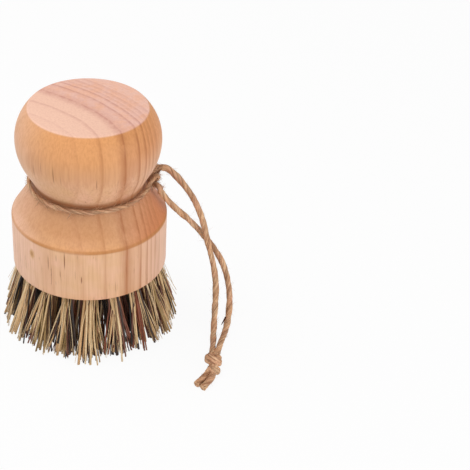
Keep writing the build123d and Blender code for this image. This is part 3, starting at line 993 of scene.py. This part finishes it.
class Tuft:
    """One tuft while it is made: its mesh, its random draws and the bundles that its fibres gather in."""

    def __init__(self, seed, template, handle, look, centre, ring):
        self.chance = random.Random(seed)
        self.shape = bmesh.new()
        self.tones = self.shape.verts.layers.float.new("tone")
        self.template, self.handle, self.look, self.centre, self.ring = template, handle, look, centre, ring
        self.mouth = centre + Vector((0, 0, handle.underside + ROOT_LIFT))
        self.locks = self.make_locks()

    def make_locks(self):
        """The bundles of the tuft: where each one's tip lies, its height and its tone."""
        chance, look = self.chance, self.look
        weights = {
            0.04: 1.8, 0.14: 1.6, 0.30: 2.2, 0.42: 0.9, 0.55: 0.8, 0.64: 1.2, 0.76: 3.0, 0.88: 2.6, 0.97: 0.6
        }
        if self.centre.x > 0.012 and self.centre.y < 0.004:
            weights[RED] *= 7.0
        # Painted shade: the tufts inside the outer ring take mostly dark tones, for the shade deep in the
        # brush.
        if self.ring != "outer":
            weights = {
                tone: weight * (5.0 if tone < INNER_SHADE_TONES else 0.5) for tone, weight in weights.items()
            }
        locks = []
        first = chance.random()
        for index in range(look.locks):
            angle = tau * (index + first + chance.uniform(-0.3, 0.3)) / look.locks
            reach = look.tip_spread * chance.uniform(0.35, 0.80)
            rise = max(0.0, chance.gauss(-0.05, 0.30)) * look.ragged
            if chance.random() < SHORT_LOCKS:
                rise = chance.uniform(0.5, 1.2) * look.ragged
            tone = chance.choices(list(weights), list(weights.values()))[0]
            locks.append((unit_at(angle), reach, rise, tone))
        return locks

    def held_in(self, tip):
        """A tip no further out than it may stand; a little further at the front than at the back."""
        length = max(tip.length, 0.0001)
        return tip * min(1.0, self.look.reach * (1 - 0.04 * tip.y / length) / length)

    def bow(self, amount):
        return Vector((self.chance.gauss(0, 1), self.chance.gauss(0, 1), 0)) * amount

    def add_root(self):
        """The folded bundle that fills the hole, up to the clearance at its bottom."""
        top = self.handle.hole_depth - HOLE_BOTTOM_GAP
        radius = self.handle.hole_diameter / 2 - HOLE_GAP
        middle = self.centre + Vector((0, 0, self.handle.underside + HOLE_BOTTOM_GAP / 2 + top / 2))
        made = bmesh.ops.create_cone(
            self.shape, cap_ends=True, segments=20, radius1=radius, radius2=radius,
            depth=top - HOLE_BOTTOM_GAP, matrix=Matrix.Translation(middle),
        )
        for index, vertex in enumerate(made["verts"]):
            vertex[self.tones] = 0.12 + 0.25 * ((index * 7) % 5) / 5

    def add_member(self):
        """One fibre from its place in the hole to the tip of its lock, or between two tufts."""
        chance, look, centre = self.chance, self.look, self.centre
        way, reach, rise, tone = chance.choice(self.locks)
        spread = unit_at(chance.random() * tau) * sqrt(chance.random())
        root = self.mouth + (spread * 0.75 + way * 0.3) * look.root_spread
        off = unit_at(chance.random() * tau) * chance.uniform(0, 0.46) * look.tip_spread
        inside = self.ring != "outer"
        if not inside and chance.random() < IN_BETWEEN_FIBRES:
            aside = Vector((-centre.y, centre.x, 0)).normalized()
            off = aside * chance.uniform(-1.15, 1.15) * look.tip_spread
            way, rise = Vector(), rise + chance.uniform(0.0, 0.7) * look.ragged
            tone = chance.choice((0.02, 0.06, 0.10, 0.16, 0.26, 0.34, 0.44))
        flare, fan = (1.55, 1.3) if inside else (1.0, 1.0)
        tip = self.held_in(centre * (1 + look.flare * flare) + (way * reach + off) * fan)
        tip.z = rise + max(0.0, chance.gauss(0.0, 0.22)) * look.ragged + TIP_GAP
        if chance.random() < SHORT_FIBRES:
            tip.z += look.ragged * chance.uniform(0.3, 1.0)
        if chance.random() < MIXED_FIBRES:
            tone = chance.choice((0.04, 0.14, 0.30, 0.64, 0.76, 0.88, 0.97))
        radius = look.width / 2 * min(1.75, max(0.42, chance.gauss(1.0, 0.34)))
        self.add_fibre(root, tip, self.bow(0.00022), radius, tone + chance.gauss(0, 0.022))

    def add_stray(self):
        """A fine pale fibre that leaves its tuft: out and down, or slanting across its neighbours."""
        chance, look = self.chance, self.look
        outward = self.centre.normalized()
        around = Vector((-outward.y, outward.x, 0))
        root = self.mouth + outward * look.root_spread * 0.85
        if chance.random() < 0.55:
            out, aside = chance.uniform(0.0062, 0.0092), chance.uniform(-0.0022, 0.0022)
            drop = chance.uniform(0.001, 0.0125)
        else:
            out = chance.uniform(0.0085, 0.0100)
            aside = chance.choice((-1, 1)) * chance.uniform(0.003, 0.0075)
            drop = chance.uniform(0.0004, 0.006)
        tip = self.held_in(self.centre * (1 + look.flare * 0.2) + outward * out + around * aside)
        tip.z = drop
        bend = self.bow(0.00035)
        self.add_fibre(root, tip, bend, look.width * chance.uniform(0.12, 0.19), chance.uniform(0.86, 1.0))

    def add_fibre(self, root, tip, bend, radius, tone):
        """Copies the fibre template from a root to a tip, a little flattened and bowed."""
        run, first = tip - root, len(self.shape.verts)
        self.shape.from_mesh(self.template)
        self.shape.verts.ensure_lookup_table()
        flat = self.chance.uniform(0.55, 1.0)
        turned = self.chance.random() * pi
        cosine, sine = cos(turned), sin(turned)
        for vertex in self.shape.verts[first:]:
            x, y, t = vertex.co.x, vertex.co.y * flat, -vertex.co.z
            thin = radius * (1.0 - 0.16 * t)
            across = Vector(((x * cosine - y * sine) * thin, (x * sine + y * cosine) * thin, 0))
            vertex.co = root + run * t + across + bend * (4 * t * (1 - t))
            vertex[self.tones] = min(1.0, max(0.0, tone + 0.05 * (t - 0.5)))


class PALMBRUSH_OT_tufts(bpy.types.Operator):
    """Make the tufts of plant fibre, each from its folded root to its ragged tips"""
    bl_idname = "palm_brush.tufts"
    bl_label = "Fibre tufts"

    def execute(self, context):
        handle, look = context.scene.palm_brush_handle, context.scene.palm_brush_fibre
        material = shared_material("Plant fibre", look)
        template = upright_template("fibre", 5, 1.0, -0.5, True)
        counts = {"outer": look.outer_count, "middle": look.middle_count}
        places = ring_places(handle)
        if sorted(places) != TUFTS:
            raise RuntimeError("the tufts of the frame aren't the ones that this script makes")
        for seed, (name, centre) in enumerate(sorted(places.items()), 100):
            tuft = Tuft(seed, template, handle, look, centre, name.split("_")[1])
            for _ in range(counts.get(tuft.ring, look.inner_count)):
                tuft.add_member()
            for _ in range(look.strays if tuft.ring == "outer" else 0):
                tuft.add_stray()
            tuft.add_root()
            for face in tuft.shape.faces:
                face.smooth = len(face.verts) == 4
            finish_piece(f"{name}_fibres", tuft.shape, material, BRUSH, [name])
        bpy.data.meshes.remove(template)
        return {"FINISHED"}


class PALMBRUSH_OT_staples(bpy.types.Operator):
    """Give the staples of the CAD model their drawn-wire finish"""
    bl_idname = "palm_brush.staples"
    bl_label = "Staples"

    def execute(self, context):
        material = shared_material("Staple wire")
        for name in STAPLES:
            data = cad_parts[name].data
            data.materials.clear()
            data.materials.append(material)
        return {"FINISHED"}


class PALMBRUSH_PT_panel(bpy.types.Panel):
    """Sizes, colours and the pieces of the brush"""
    bl_idname = "PALMBRUSH_PT_panel"
    bl_label = "Palm brush"
    bl_space_type = "VIEW_3D"
    bl_region_type = "UI"
    bl_category = "Palm brush"

    def draw(self, context):
        for operator in OPERATORS:
            self.layout.operator(operator.bl_idname)
        for label, group in SETTINGS.items():
            box = self.layout.box()
            box.label(text=label.replace("_", " ").capitalize())
            values = getattr(context.scene, f"palm_brush_{label}")
            for name in group.__annotations__:
                box.prop(values, name)


SETTINGS = {
    "handle": PALMBRUSH_PG_handle,
    "fibre": PALMBRUSH_PG_fibre,
    "twine": PALMBRUSH_PG_twine,
    "stage": PALMBRUSH_PG_stage,
}
OPERATORS = (
    PALMBRUSH_OT_stage,
    PALMBRUSH_OT_strands,
    PALMBRUSH_OT_winding,
    PALMBRUSH_OT_knot,
    PALMBRUSH_OT_handle,
    PALMBRUSH_OT_tufts,
    PALMBRUSH_OT_staples,
)


CLASSES = (*SETTINGS.values(), *OPERATORS, PALMBRUSH_PT_panel)


def register():
    for kind in CLASSES:
        bpy.utils.register_class(kind)
    for label, group in SETTINGS.items():
        setattr(bpy.types.Scene, f"palm_brush_{label}", bpy.props.PointerProperty(type=group))


def unregister():
    for label in SETTINGS:
        delattr(bpy.types.Scene, f"palm_brush_{label}")
    for kind in reversed(CLASSES):
        bpy.utils.unregister_class(kind)


def main():
    register()
    bpy.ops.palm_brush.stage()
    bpy.ops.palm_brush.strands()
    bpy.ops.palm_brush.winding()
    bpy.ops.palm_brush.knot()
    bpy.ops.palm_brush.handle()
    bpy.ops.palm_brush.tufts()
    bpy.ops.palm_brush.staples()


if __name__ == "__main__":
    main()
